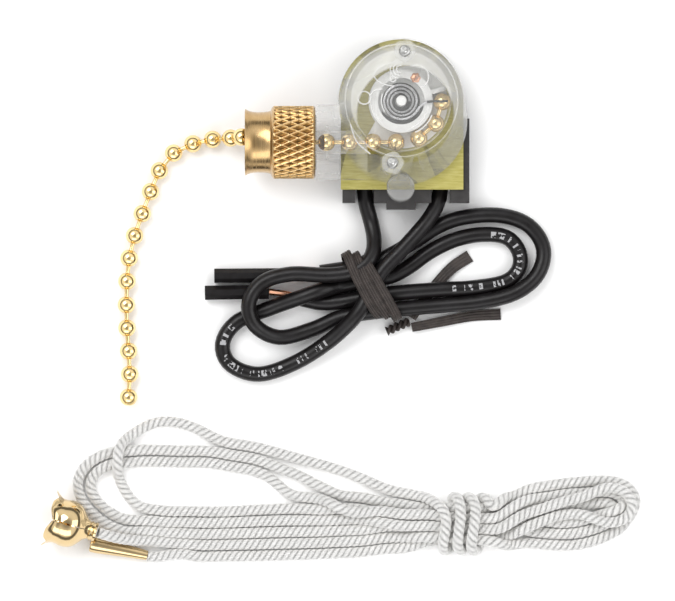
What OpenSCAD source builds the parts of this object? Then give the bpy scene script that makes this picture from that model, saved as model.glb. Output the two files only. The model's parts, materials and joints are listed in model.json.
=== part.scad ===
// Pull-chain canopy switch lying on its back, with its two leads,
// and the loose pull cord that clips to its chain.
// Origin: on the back face, under the drum's axis. +Z up from the back face, -X along the chain as it leaves.

/* [Housing] */
// Thickness of the black base
base_t = 6.0; // [5.8:0.1:6.4]
// Radius of the round end of the insulating plate
plate_r = 11.3; // [11.1:0.1:11.6]
// Thickness of the insulating plate
plate_t = 0.8; // [0.6:0.1:0.8]
// Top of the clear cover above the back face
cover_top = 15.2; // [15:0.1:17]
// Radius of the clear cover's flange
flange_r = 11.5; // [11.4:0.1:12]
// Thickness of the clear cover's wall
cover_wall = 1.2; // [1.1:0.1:1.8]

/* [Chain] */
// Diameter of a chain ball
ball_d = 3.2; // [3:0.1:3.2]
// Diameter of the wire between two balls
link_d = 0.9; // [0.7:0.1:1.2]
// Height of the chain's axis above the back face
axis_z = 9.0; // [9:0.1:9.2]
// Radius of the drum at the middle of the chain
drum_r = 7.4; // [7.3:0.1:7.5]

/* [Neck and nut] */
// Diameter of the clear collar behind the nut
collar_d = 13.6; // [13:0.1:14]
// Diameter of the stem that the nut turns on
stem_d = 9.8; // [9.6:0.1:10]
// Diameter of the knurled part of the nut
nut_d = 13.2; // [12.6:0.1:14]

/* [Leads and cord] */
// Diameter of the lead's insulation
lead_d = 2.8; // [2.4:0.1:2.8]
// Diameter of the bare conductor
core_d = 1.2; // [1:0.1:1.2]
// Width of the twist tie
tie_w = 2.1; // [1.8:0.1:2.3]
// Height of the tied white cord
hank_h = 4.6; // [4:0.1:6]

/* [Hidden] */
$fn = 64;
ball_r = ball_d / 2;
plate_top = base_t + plate_t;
cavity_r = 9.1;            // room for the drum inside the cover
wall_r = cavity_r + cover_wall;
cavity_top = cover_top - 1.2;
post_r = 0.95;
running = 0.05;            // radial clearance of a running fit
stem_bore_r = 2.1;
collar_x = -15.3;          // left face of the collar, where a panel is clamped
stem_end_x = -22.5;
nut_x = -15.5;             // right face of the nut
pins = [[0.6, 8.9], [-1.6, -11.2]];
pin_r = 1.0;
pin_head_r = 1.6;
lobe = [-0.1, -15.7];      // tab at the foot of the cover
well_r = 7.4;              // rotor's well in the base
well_floor = 1.2;
lead_z = 2.4;
lead_x = [-6.6, 7.2];
drum_floor = 7.0;
core_top = 11.0;
core_r = drum_r - ball_r - 0.1;
link_r = link_d / 2;

// Chain inside the cover and stem, on the axis, then over the drum (angles from +X)
stem_ball_x = [-26.1, -21.9, -17.7, -13.5, -9.3, -5.1, -0.9];
drum_ball_a = [-64.5, -32.5, -0.5];
// Chain outside: it drops from the nut to the surface and lies in a curve
pull_route = [
  [-28.9, -6.4, 7.0], [-30.9, -6.5, 3.4], [-34.2, -6.7, 1.7], [-37.8, -7.5, 1.6], [-41.3, -9.2, 1.6],
  [-43.9, -12.4, 1.6], [-45.5, -16.2, 1.6], [-47.0, -20.2, 1.6], [-48.4, -24.2, 1.6],
  [-49.4, -28.3, 1.6], [-49.8, -32.5, 1.6], [-49.9, -36.8, 1.6], [-49.8, -41.0, 1.6],
  [-49.5, -45.2, 1.6], [-49.3, -49.4, 1.6], [-49.5, -53.6, 1.6]
];

// Left lead: out of the base, through the tie, small left loop, tie, large right loop, tie
lead_left_route = [
  [-6.6, -12.2, 2.4], [-6.6, -15.8, 2.4], [-6.3, -18.5, 2.1], [-5.5, -21.4, 1.8], [-4.9, -24.3, 2.6],
  [-5.0, -27.0, 4.0], [-6.2, -29.2, 4.9], [-8.8, -30.8, 5.0], [-13.4, -31.4, 4.8], [-20.0, -31.2, 4.5],
  [-25.2, -32.8, 4.5], [-27.6, -36.6, 4.5], [-26.4, -40.6, 3.9], [-22.0, -42.7, 2.2],
  [-16.0, -41.2, 1.5], [-11.0, -39.1, 1.7], [-5.3, -38.1, 2.0], [0.4, -37.5, 2.0], [7.2, -36.9, 2.0],
  [14.6, -36.2, 2.4], [20.6, -34.7, 2.6], [24.5, -31.8, 2.2], [26.0, -28.0, 1.7], [25.2, -24.6, 1.5],
  [22.4, -21.8, 1.5], [17.8, -20.5, 1.5], [12.0, -20.8, 1.5], [7.2, -22.3, 1.5], [1.6, -25.8, 1.6],
  [-5.3, -29.4, 1.9], [-9.8, -30.2, 1.7], [-14.6, -30.9, 1.5]
];
// Right lead: out of the base, over the tie's other turns, large left loop, tie, small right loop, tie
lead_right_route = [
  [7.2, -12.2, 2.4], [7.2, -15.8, 2.4], [6.7, -18.2, 3.0], [5.6, -20.4, 3.8], [3.8, -22.8, 4.5],
  [0.2, -26.8, 4.9], [-3.2, -30.4, 5.0], [-5.7, -34.4, 4.9], [-7.8, -38.3, 5.0], [-12.4, -42.9, 3.2],
  [-19.0, -47.2, 1.6], [-25.8, -49.4, 1.5], [-31.0, -47.6, 1.5], [-32.4, -43.8, 1.5],
  [-29.8, -39.9, 1.5], [-24.0, -37.5, 1.5], [-18.4, -35.5, 3.2], [-14.6, -34.2, 3.5],
  [-11.0, -33.3, 1.9], [-5.3, -32.3, 2.0], [-1.6, -31.5, 1.8], [1.6, -29.8, 1.5], [5.4, -27.1, 1.5],
  [10.0, -24.9, 1.5], [14.8, -24.0, 1.5], [19.2, -24.5, 1.5], [21.5, -27.1, 1.5], [21.5, -30.2, 1.5],
  [19.0, -32.6, 1.5], [13.0, -33.7, 1.8], [7.2, -34.0, 2.0], [0.6, -34.5, 2.0], [-5.3, -35.2, 2.0],
  [-11.0, -36.2, 1.7], [-14.6, -36.4, 1.5]
];
// Bare conductors between the insulation and the slug left on each end
core_left_route = [[-14.6, -30.9, 1.5], [-16.6, -31.2, 0.9], [-18.6, -31.4, 0.9], [-20.6, -31.4, 1.5]];
core_right_route = [[-14.6, -36.4, 1.5], [-17.6, -35.8, 0.8], [-20.8, -34.8, 0.8], [-24.0, -34.4, 1.5]];
slug_left_route = [[-20.6, -31.4, 1.5], [-33.9, -31.5, 1.5]];
slug_right_route = [[-24.0, -34.4, 1.5], [-35.6, -34.6, 1.5]];

// Cord between the bell or the ferrule and the hank
bell_tail_route = [[-54.9, -78.1, 5.2], [-52.0, -79.0, 4.2], [-48.6, -79.6, 2.4], [-45.0, -79.8, 1.3]];
ferrule_tail_route = [[-46.0, -82.5, 1.2], [-44.2, -82.7, 1.1], [-42.0, -82.2, 1.1]];
cord_r = 1.0;

// Bell connector: mouth at the left, axis turned and level, lip on the surface
bell_mouth = [-63.8, -75.4, 5.4];
bell_turn = -17;
bell_wall = 0.4;
bell_profile = [[5.4, 0], [4.6, 0.8], [4.1, 1.8], [4.3, 3.2], [4.1, 4.8], [3.2, 6.0], [2.0, 6.9], [1.6, 7.6]];

function unit(v) = v / norm(v);
function heading(route, i) = unit(route[min(i + 1, len(route) - 1)] - route[max(i - 1, 0)]);
function ring(centre, t, r, sides) =
  let (s = unit(cross(t, [0, 0, 1])), u = cross(s, t), step = 360 / sides)
  [for (k = [0 : sides - 1]) centre + r * (cos(step * (k + 0.5)) * s + sin(step * (k + 0.5)) * u)];
function tube_points(route, r, sides) =
  [for (i = [0 : len(route) - 1]) each ring(route[i], heading(route, i), r, sides)];
function tube_faces(rings, sides) = [
  [for (k = [sides - 1 : -1 : 0]) k],
  [for (k = [0 : sides - 1]) (rings - 1) * sides + k],
  for (i = [0 : rings - 2])
    for (k = [0 : sides - 1])
      let (a = i * sides + k, b = i * sides + (k + 1) % sides)
        each [[a, b, b + sides], [a, b + sides, a + sides]]
];
function spring_point(a) =
  let (f = a / 1080)
  [(1.55 + 1.85 * f) * cos(a), (1.55 + 1.85 * f) * sin(a), 9.3 + 2.1 * f];
spring_end = [[3.5, -0.5, 11.4], [4.4, 0, 11.4], [8.4, 0, 11.4]];
function tooth(a) = [3.3 * [cos(a), sin(a)], 2.5 * [cos(a + 6), sin(a + 6)]];
function snail_r(a) =
  let (t = min(1, max(0, (120 - a) / 120)))
  a > 120 ? 5.9 : 5.9 + 2.6 * (3 * t * t - 2 * t * t * t);

// A tube swept along a route
module tube(route, r, sides = 8) {
  polyhedron(tube_points(route, r, sides), tube_faces(len(route), sides));
}

// A cylinder along +X, from x0 to x1, round the chain's axis
module along_x(x0, x1, r) {
  translate([x0, -drum_r, axis_z])
    rotate([0, 90, 0])
      cylinder(r = r, h = x1 - x0);
}

// A straight link between the surfaces of two balls
module link(a, b, end_gap = 0) {
  d = b - a;
  translate(a)
    rotate([0, acos(d[2] / norm(d)), atan2(d[1], d[0])])
      translate([0, 0, ball_r])
        cylinder(r = link_r, h = norm(d) - 2 * ball_r - end_gap);
}

function drum_ball(a) = [drum_r * cos(a), drum_r * sin(a), axis_z];

module pin_holes(z) {
  for (p = pins)
    translate([p[0], p[1], z])
      cylinder(r = pin_r, h = 30);
}

// Black moulded base: rotor's well, contact channels, lead holes and the three feet at its lower edge
module base_housing() {
  color([0.13, 0.12, 0.12])
    difference() {
      union() {
        cylinder(r = plate_r - 0.5, h = base_t);
        translate([-10.6, -18.3, 0]) cube([23, 15.3, base_t]);
        translate([-2.6, -19.5, 0]) cube([5.3, 1.3, base_t]);
      }
      translate([-8.3, -20, -1]) cube([3.4, 4.4, base_t + 2]);
      translate([5.5, -20, -1]) cube([3.4, 4.4, base_t + 2]);
      translate([0, 0, well_floor]) cylinder(r = well_r, h = base_t);
      translate([-8.2, -12.1, well_floor]) cube([3.2, 10, base_t]);
      translate([5.2, -12.1, well_floor]) cube([3.4, 10, base_t]);
      for (x = lead_x)
        translate([x, -11.9, lead_z]) rotate([90, 0, 0]) cylinder(r = lead_d / 2, h = 5);
      translate([0, 0, 0.6]) cylinder(r = post_r, h = 2);
      pin_holes(1);
    }
}

// Insulating plate between the base and the clear cover
module fibre_plate() {
  color([0.68, 0.66, 0.26])
    translate([0, 0, base_t])
      difference() {
        union() {
          cylinder(r = plate_r, h = plate_t);
          translate([-10.9, -15.9, 0]) cube([22.2, 15.9, plate_t]);
        }
        translate([0, 0, -1]) cylinder(r = 4.3, h = 3);
        translate([2.8, 4.6, -1]) cylinder(r = 0.95, h = 3);
        pin_holes(-1);
      }
}

// Clear moulding: flange, drum chamber, foot tab, collar and threaded stem in one piece
module clear_cover() {
  color([0.85, 0.87, 0.88])
    difference() {
      union() {
        translate([0, 0, plate_top]) cylinder(r = flange_r, h = 1.4);
        translate([0.3, -3.4, plate_top]) cylinder(r = flange_r + 0.2, h = 1.4);
        translate([0, 0, plate_top]) cylinder(r = wall_r, h = cover_top - plate_top);
        translate([lobe[0], lobe[1], plate_top]) cylinder(r = 2.5, h = 4);
        translate([lobe[0] - 2.5, lobe[1], plate_top]) cube([5, 6, 1.4]);
        translate([-11.1, -14.2, plate_top]) cube([11, 13.8, 1.4]);
        translate([-11.1, -14.2, plate_top]) cube([5, 13.8, cover_top - plate_top - 0.6]);
        for (p = pins)
          translate([p[0], p[1], plate_top]) cylinder(r = 2.2, h = cover_top - plate_top);
        along_x(collar_x, -11.1, collar_d / 2);
        along_x(stem_end_x, collar_x, stem_d / 2);
      }
      translate([0, 0, plate_top - 1]) cylinder(r = cavity_r, h = cavity_top - plate_top + 1);
      translate([-10, -9.5, plate_top - 1]) cube([10, 4.2, 11.2 - plate_top + 1]);
      along_x(stem_end_x - 1, -5, stem_bore_r);
      along_x(-13.6, -13.1, stem_bore_r + 1);
      translate([0, 0, plate_top]) cylinder(r = post_r, h = cavity_top + 0.5 - plate_top);
      pin_holes(0);
    }
}

module stake_pin(p) {
  color([0.78, 0.78, 0.76])
    translate([p[0], p[1], 0]) {
      translate([0, 0, 1]) cylinder(r = pin_r, h = cover_top - 1);
      translate([0, 0, cover_top]) cylinder(r1 = pin_head_r, r2 = pin_head_r - 0.4, h = 0.5);
    }
}

module stake_pin_top() {
  stake_pin(pins[0]);
}

module stake_pin_bottom() {
  stake_pin(pins[1]);
}

// Fixed post that the drum and the rotor turn on
module hub_post() {
  color([0.85, 0.85, 0.83])
    translate([0, 0, 0.6]) cylinder(r = post_r, h = cavity_top - 0.1);
}

module contact_rivet() {
  color([0.8, 0.45, 0.3]) {
    translate([2.8, 4.6, base_t]) cylinder(r = 0.95, h = plate_t);
    translate([2.8, 4.6, base_t - 0.5]) cylinder(r = 0.5, h = 0.5);
  }
}

// Crimped terminal on the end of a lead inside the base
module terminal(x, x0) {
  color([0.82, 0.62, 0.3])
    difference() {
      translate([x0, -11.9, well_floor]) cube([2.4, 2.9, 2.9]);
      translate([x, -8, lead_z]) rotate([90, 0, 0]) cylinder(r = core_d / 2, h = 5);
    }
}

module terminal_left() {
  terminal(lead_x[0], -7.8);
}

module terminal_right() {
  terminal(lead_x[1], 6);
}

module contact_blade(x) {
  color([0.8, 0.5, 0.32])
    translate([x, -9, 1.6]) cube([0.3, 12, 3]);
}

module contact_blade_left() {
  contact_blade(-6.25);
}

module contact_blade_right() {
  contact_blade(5.95);
}

module lead_left() {
  color([0.1, 0.1, 0.1]) tube(lead_left_route, lead_d / 2);
}

module lead_right() {
  color([0.1, 0.1, 0.1]) tube(lead_right_route, lead_d / 2);
}

// Bare copper: the stub in the terminal and the stretch before the slug
module lead_core(x, route) {
  color([0.8, 0.5, 0.32]) {
    translate([x, -9.4, lead_z]) rotate([90, 0, 0]) cylinder(r = core_d / 2, h = 2.8);
    tube(route, core_d / 2);
  }
}

module lead_left_core() {
  lead_core(lead_x[0], core_left_route);
}

module lead_right_core() {
  lead_core(lead_x[1], core_right_route);
}

module lead_left_slug() {
  color([0.1, 0.1, 0.1]) tube(slug_left_route, lead_d / 2);
}

module lead_right_slug() {
  color([0.1, 0.1, 0.1]) tube(slug_right_route, lead_d / 2);
}

// One flat turn of the tie round the six passes of the leads
module tie_turn(x, y, turn) {
  translate([x, y, 0])
    rotate([0, 0, turn])
      translate([-tie_w / 2, 0, 0])
        rotate([90, 0, 90])
          linear_extrude(tie_w)
            difference() {
              translate([-7, 0]) square([14, 7]);
              translate([-6.5, 0.5]) square([13, 6]);
            }
}

module tie_wraps() {
  color([0.16, 0.13, 0.12]) {
    tie_turn(-7.8, -33.2, 22);
    tie_turn(-5.4, -33.4, 22);
    tie_turn(-3.0, -33.6, 22);
  }
}

module tie_twist() {
  color([0.16, 0.13, 0.12])
    translate([-2.4, -41.5, 0.9]) rotate([0, 90, 24]) cylinder(r = 0.9, h = 4);
}

module tie_tail_upper() {
  color([0.16, 0.13, 0.12])
    linear_extrude(0.4)
      polygon([
        [1.4, -39.0], [2.8, -36.6], [5.0, -33.4], [8.4, -29.6], [12.2, -27.0],
        [13.2, -28.8], [10.0, -31.0], [6.8, -34.6], [4.4, -37.6], [2.8, -39.6]
      ]);
}

module tie_tail_lower() {
  color([0.16, 0.13, 0.12])
    linear_extrude(0.4)
      polygon([
        [1.9, -39.9], [7.2, -38.8], [13.0, -37.6], [18.2, -37.4],
        [18.2, -39.4], [13.0, -39.8], [7.2, -40.9], [2.2, -41.9]
      ]);
}

// Drum: snail-shaped floor, core that the chain lies against, spring well and stop lug
module chain_drum() {
  color([0.9, 0.9, 0.88])
    difference() {
      union() {
        translate([0, 0, drum_floor])
          linear_extrude(0.3)
            polygon([for (a = [-135 : 7.5 : 217.5]) snail_r(a) * [cos(a), sin(a)]]);
        translate([0, 0, drum_floor]) cylinder(r = core_r, h = core_top - drum_floor);
        translate([0, 0, base_t]) cylinder(r = 3.4, h = 2);
        rotate([0, 0, 16.5]) translate([5, -0.4, drum_floor]) cube([3.3, 0.8, 3.6]);
      }
      translate([0, 0, 8.4]) cylinder(r = 4.2, h = 5);
      translate([0, 0, 1]) cylinder(r = post_r + running, h = 12);
    }
}

module drive_pawl() {
  color([0.7, 0.7, 0.7])
    difference() {
      translate([3.45, -0.8, 5.5]) cube([0.45, 1.6, 1.5]);
      translate([0, 0, base_t]) cylinder(r = 3.4, h = 2);
    }
}

module drum_balls() {
  color([0.83, 0.66, 0.3])
    for (a = drum_ball_a)
      translate(drum_ball(a)) sphere(r = ball_r);
}

module drum_links() {
  color([0.83, 0.66, 0.3]) {
    link(drum_ball(drum_ball_a[0]), drum_ball(drum_ball_a[1]));
    link(drum_ball(drum_ball_a[1]), drum_ball(drum_ball_a[2]));
  }
}

// Torsion spring in the drum's well, with its straight end over the rim
module return_spring() {
  color([0.5, 0.5, 0.5])
    tube(concat([for (a = [0 : 24 : 1056]) spring_point(a)], spring_end), 0.3);
}

// Rotor that carries the moving contact a quarter turn at each pull
module contact_rotor() {
  color([0.45, 0.2, 0.12])
    translate([0, 0, 1.5])
      difference() {
        cylinder(r = 4.9, h = 3.8);
        translate([-6, -1.45, 1.6]) cube([12, 2.9, 0.5]);
        translate([0, 0, -1]) cylinder(r = post_r + running, h = 7);
      }
}

module ratchet_wheel() {
  color([0.7, 0.7, 0.7])
    translate([0, 0, 5.3])
      difference() {
        linear_extrude(0.5)
          polygon([for (i = [0 : 7]) each tooth(45 * i)]);
        translate([0, 0, -1]) cylinder(r = post_r + running, h = 3);
      }
}

module moving_contact() {
  color([0.8, 0.5, 0.32])
    translate([0, 0, 3.15])
      difference() {
        translate([-5.6, -1.4, 0]) cube([11.2, 2.8, 0.4]);
        translate([0, 0, -1]) cylinder(r = post_r + running, h = 3);
      }
}

// Brass nut: knurled grip, smooth neck and trumpet lip that guides the chain
module flared_nut() {
  r = nut_d / 2;
  color([0.8, 0.6, 0.3])
    translate([nut_x, -drum_r, axis_z])
      rotate([0, -90, 0])
        rotate_extrude()
          polygon([
            [stem_d / 2 + running, 0], [r - 0.3, 0], [r, 0.35], [r, 7.5], [r - 0.35, 7.9], [5.65, 8.1],
            [5.45, 10.4], [5.55, 11.4], [5.8, 12.2], [6.05, 12.7], [5.5, 12.7], [4.9, 12.2],
            [4.0, 11.6], [3.0, 10.6], [2.5, 9.5], [2.4, 8.2], [2.4, 7.6], [stem_d / 2 + running, 7.6]
          ]);
}

module stem_balls() {
  color([0.83, 0.66, 0.3])
    for (x = stem_ball_x)
      translate([x, -drum_r, axis_z]) sphere(r = ball_r);
}

module stem_links() {
  color([0.83, 0.66, 0.3]) {
    for (i = [0 : len(stem_ball_x) - 2])
      link([stem_ball_x[i], -drum_r, axis_z], [stem_ball_x[i + 1], -drum_r, axis_z]);
    link([stem_ball_x[len(stem_ball_x) - 1], -drum_r, axis_z], drum_ball(drum_ball_a[0]), 0.3);
  }
}

module pull_balls() {
  color([0.83, 0.66, 0.3])
    for (p = pull_route)
      translate(p) sphere(r = ball_r);
}

module pull_links() {
  color([0.83, 0.66, 0.3]) {
    link([stem_ball_x[0], -drum_r, axis_z], pull_route[0]);
    for (i = [0 : len(pull_route) - 2])
      link(pull_route[i], pull_route[i + 1]);
  }
}

// Outline of one end of the tied cord, with its corners rounded
module hank(outline) {
  color([0.95, 0.94, 0.9])
    linear_extrude(hank_h)
      offset(r = 1, $fn = 24)
        offset(delta = -1)
          polygon(outline);
}

module cord_hank_left() {
  hank([
    [-60.0, -69.6], [-57.9, -65.6], [-54.7, -63.4], [-50.5, -61.4], [-47.4, -58.6], [-43.8, -57.0],
    [-38.0, -57.6], [-33.0, -59.8], [-29.0, -62.0], [-24.0, -62.2], [-10.0, -65.8], [0.5, -70.4],
    [6.2, -72.6], [6.2, -78.6], [-5.0, -80.9], [-19.0, -82.6], [-33.0, -82.4], [-41.4, -81.6],
    [-44.6, -80.9], [-44.6, -78.6], [-52.0, -77.0], [-54.0, -75.8], [-55.6, -74.6], [-56.8, -73.0],
    [-58.6, -71.6]
  ]);
}

module cord_hank_right() {
  hank([
    [16.0, -72.6], [19.0, -71.0], [29.4, -68.8], [38.8, -67.7], [42.6, -69.4], [44.0, -72.4],
    [42.8, -75.6], [39.4, -78.4], [34.9, -80.4], [29.7, -81.3], [23.9, -81.0], [19.0, -80.4], [16.0, -79.8]
  ]);
}

// Turns of the cord round its own middle, and the knot
module cord_wrap() {
  color([0.95, 0.94, 0.9])
    translate([6.2, 0, 0])
      rotate([90, 0, 90])
        linear_extrude(9.8)
          polygon([
            [-81.2, 0], [-71.8, 0], [-70.9, 1.6], [-71.2, 4.6],
            [-73.4, 6.6], [-77.4, 6.8], [-80.6, 5.2], [-82.0, 2.4]
          ]);
}

module cord_tail_bell() {
  color([0.95, 0.94, 0.9]) tube(bell_tail_route, cord_r);
}

module cord_tail_ferrule() {
  color([0.95, 0.94, 0.9]) tube(ferrule_tail_route, cord_r);
}

// Place in the bell's own axis: +Z runs from the mouth to the neck
module in_bell() {
  translate(bell_mouth)
    rotate([0, 0, bell_turn])
      rotate([0, 90, 0])
        children();
}

// Half of the bell's thin shell
module bell_half(start) {
  color([0.86, 0.68, 0.32])
    in_bell()
      rotate([0, 0, start])
        rotate_extrude(angle = 176)
          polygon(concat(
            bell_profile,
            [for (i = [len(bell_profile) - 1 : -1 : 0]) bell_profile[i] - [bell_wall, 0]]
          ));
}

module bell_half_front() {
  bell_half(92);
}

module bell_half_back() {
  bell_half(-88);
}

module bell_collar() {
  color([0.86, 0.68, 0.32])
    in_bell()
      translate([0, 0, 7.6])
        difference() {
          cylinder(r = 1.8, h = 1.4);
          translate([0, 0, -1]) cylinder(r = 1.05, h = 4);
        }
}

// Knot that stops the cord inside the bell
module bell_knot() {
  color([0.95, 0.94, 0.9])
    in_bell() {
      translate([0, 0, 6.3]) sphere(r = 1.3);
      translate([0, 0, 6.3]) cylinder(r = 1.0, h = 2.8);
    }
}

// Tapered brass end on the cord's other end
module cord_ferrule() {
  color([0.86, 0.68, 0.32])
    translate([-56.4, -80.2, 1.4])
      rotate([0, 90, -12.5])
        cylinder(r1 = 1.4, r2 = 1.0, h = 10.6);
}

base_housing();
fibre_plate();
clear_cover();
stake_pin_top();
stake_pin_bottom();
hub_post();
contact_rivet();
terminal_left();
terminal_right();
contact_blade_left();
contact_blade_right();
lead_left();
lead_right();
lead_left_core();
lead_right_core();
lead_left_slug();
lead_right_slug();
tie_wraps();
tie_twist();
tie_tail_upper();
tie_tail_lower();
chain_drum();
drive_pawl();
drum_balls();
drum_links();
return_spring();
contact_rotor();
ratchet_wheel();
moving_contact();
flared_nut();
stem_balls();
stem_links();
pull_balls();
pull_links();
cord_hank_left();
cord_wrap();
cord_hank_right();
cord_tail_bell();
cord_tail_ferrule();
bell_half_front();
bell_half_back();
bell_collar();
bell_knot();
cord_ferrule();
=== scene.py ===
"""Pull-chain switch with its leads and its loose pull cord: looks and fine geometry over the CAD frame."""
import json
import math

import bmesh
import bpy
import numpy as np
from mathutils import Matrix, Vector


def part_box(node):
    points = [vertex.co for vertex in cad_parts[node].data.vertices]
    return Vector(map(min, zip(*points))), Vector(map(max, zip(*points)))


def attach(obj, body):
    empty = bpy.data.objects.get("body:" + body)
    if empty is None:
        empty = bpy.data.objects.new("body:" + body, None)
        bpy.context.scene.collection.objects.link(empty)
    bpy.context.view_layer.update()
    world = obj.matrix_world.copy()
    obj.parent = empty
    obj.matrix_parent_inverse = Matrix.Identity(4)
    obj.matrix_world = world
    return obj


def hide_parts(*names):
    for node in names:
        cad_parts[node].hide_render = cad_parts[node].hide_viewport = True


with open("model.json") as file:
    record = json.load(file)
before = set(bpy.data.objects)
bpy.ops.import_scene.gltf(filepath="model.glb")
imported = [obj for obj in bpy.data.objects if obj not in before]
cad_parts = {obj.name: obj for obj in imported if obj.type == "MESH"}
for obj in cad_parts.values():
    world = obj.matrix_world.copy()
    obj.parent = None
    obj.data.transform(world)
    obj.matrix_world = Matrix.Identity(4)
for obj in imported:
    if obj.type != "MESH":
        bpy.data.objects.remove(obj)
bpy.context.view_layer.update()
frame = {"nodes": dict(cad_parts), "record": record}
MM = 0.001
TAU = 2 * math.pi


# ---------------------------------------------------------------- places, in millimetres, from the frame

def box_mm(node):
    """Lowest and highest corners of a CAD node, in millimetres."""
    low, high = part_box(node)
    return np.array(low) / MM, np.array(high) / MM


def islands(node):
    """Middle of each separate solid of a CAD node, in millimetres, in the node's own order."""
    mesh = frame["nodes"][node].data
    parent = list(range(len(mesh.vertices)))

    def root(i):
        while parent[i] != i:
            parent[i] = parent[parent[i]]
            i = parent[i]
        return i

    for edge in mesh.edges:
        a, b = (root(i) for i in edge.vertices)
        parent[max(a, b)] = min(a, b)
    groups = {}
    for v in mesh.vertices:
        groups.setdefault(root(v.index), []).append(v.co)
    return [(np.min(g, axis=0) + np.max(g, axis=0)) / 2 / MM for g in (np.array(g) for g in groups.values())]


nut_low, nut_high = box_mm("flared_nut")
stem_low, stem_high = box_mm("stem_balls")
cover_low, cover_high = box_mm("clear_cover")
AXIS_Y = (stem_low[1] + stem_high[1]) / 2
AXIS_Z = (stem_low[2] + stem_high[2]) / 2
BALL_R = (stem_high[2] - stem_low[2]) / 2

# ---------------------------------------------------------------- camera

VIEW_CENTRE = (-11.5, -36.0)      # middle of the picture on the surface
VIEW_WIDTH = 122.9                # width of the picture at that level
LENS = 380.0
SENSOR = 36.0


def make_camera():
    data = bpy.data.cameras.new("camera")
    data.lens = LENS
    data.sensor_width = SENSOR
    data.clip_start = 0.01
    data.clip_end = 10
    camera = bpy.data.objects.new("camera", data)
    camera.location = (VIEW_CENTRE[0] * MM, VIEW_CENTRE[1] * MM, VIEW_WIDTH * MM * LENS / SENSOR)
    bpy.context.scene.collection.objects.link(camera)
    bpy.context.scene.camera = camera


make_camera()

# ---------------------------------------------------------------- geometry helpers

def spline(points, step):
    """A smooth line through the points, resampled at about the step."""
    p = np.array(points, float)
    q = np.vstack([2 * p[0] - p[1], p, 2 * p[-1] - p[-2]])
    out = []
    for i in range(1, len(q) - 2):
        a, b, c, d = q[i - 1:i + 3]
        t = np.linspace(0, 1, 24, endpoint=False)[:, None]
        out.append(0.5 * (2 * b + (c - a) * t + (2 * a - 5 * b + 4 * c - d) * t**2 + (3 * b - a - 3 * c + d) * t**3))
    return resampled(np.vstack(out + [p[-1:]]), step)


def resampled(line, step):
    """The line at evenly spaced points, ends kept."""
    along = np.r_[0, np.cumsum(np.linalg.norm(np.diff(line, axis=0), axis=1))]
    count = max(3, int(round(along[-1] / step)) + 1)
    at = np.linspace(0, along[-1], count)
    return np.column_stack([np.interp(at, along, line[:, k]) for k in range(3)])


def relax(lines, gap, held, rounds=160, floor=0.0, stay=0.03):
    """Pushes turns of cord apart until they are a gap from each other, and lets them settle on the floor.

    held says, for each line, which points keep their place."""
    x = np.vstack(lines)
    ends = np.cumsum([0] + [len(line) for line in lines])
    owner = np.repeat(np.arange(len(lines)), [len(line) for line in lines])
    index = np.arange(len(x))
    near = (owner[:, None] == owner[None]) & (np.abs(index[:, None] - index[None]) < 2.2 * gap)
    fixed = np.concatenate(held)
    home = x.copy()
    for _ in range(rounds):
        delta = x[:, None] - x[None]
        far = np.sqrt((delta**2).sum(2)) + 1e-9
        push = np.where((far < gap) & ~near, (gap - far) * 0.4, 0.0)
        count = np.maximum((push > 0).sum(1), 1)[:, None]
        move = (delta / far[:, :, None] * push[:, :, None]).sum(1) / count
        move[:, 2] -= 0.03
        move[:, :2] += (home - x)[:, :2] * stay
        x = x + np.where(fixed[:, None], 0, move)
        for a, b in zip(ends[:-1], ends[1:]):
            part = x[a:b]
            smooth = part.copy()
            smooth[2:-2] = (-part[:-4] + 4 * part[1:-3] + 10 * part[2:-2] + 4 * part[3:-1] - part[4:]) / 16
            x[a:b] = np.where(fixed[a:b, None], part, smooth)
        x[:, 2] = np.maximum(x[:, 2], floor)
    return [x[a:b] for a, b in zip(ends[:-1], ends[1:])]


def frames(line):
    """Along, side and up directions at each point of a line, without needless twist."""
    t = np.gradient(line, axis=0)
    t /= np.linalg.norm(t, axis=1)[:, None]
    side = np.cross(t[0], (0, 0, 1))
    if np.linalg.norm(side) < 1e-3:
        side = np.cross(t[0], (0, 1, 0))
    out = []
    for k in t:
        side = side - k * side.dot(k)
        side /= np.linalg.norm(side)
        out.append(side)
    s = np.array(out)
    return t, s, np.cross(s, t)


def tube(line, radius, sides, offset=None):
    """Vertices and faces of a capped tube. offset moves each ring to the side and up from the line."""
    _, s, u = frames(line)
    angle = np.arange(sides) / sides * TAU
    centre = line if offset is None else line + offset[:, :1] * s + offset[:, 1:] * u
    ring = np.cos(angle)[None, :, None] * s[:, None] + np.sin(angle)[None, :, None] * u[:, None]
    verts = (centre[:, None] + ring * radius).reshape(-1, 3)
    faces = []
    for i in range(len(line) - 1):
        for k in range(sides):
            a, b = i * sides + k, i * sides + (k + 1) % sides
            faces.append((a, a + sides, b + sides, b))
    faces.append(tuple(range(sides)))
    faces.append(tuple(range(len(verts) - 1, len(verts) - 1 - sides, -1)))
    return verts, faces


def lathe(profile, segments=96, start=0.0, angle=360.0, wave=None):
    """A closed profile of (radius, height) turned round +Z. wave(a, r, h) may move a point."""
    full = angle >= 360
    count = segments if full else segments + 1
    verts = []
    for i in range(count):
        a = math.radians(start + angle * i / segments)
        for r, h in profile:
            if wave:
                r, h = wave(a, r, h)
            verts.append((r * math.cos(a), r * math.sin(a), h))
    n = len(profile)
    faces = []
    for i in range(segments):
        j = (i + 1) % count
        for k in range(n):
            m = (k + 1) % n
            faces.append((i * n + k, j * n + k, j * n + m, i * n + m))
    if not full:
        faces.append(tuple(range(n - 1, -1, -1)))
        faces.append(tuple((count - 1) * n + k for k in range(n)))
    return np.array(verts), faces


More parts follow.
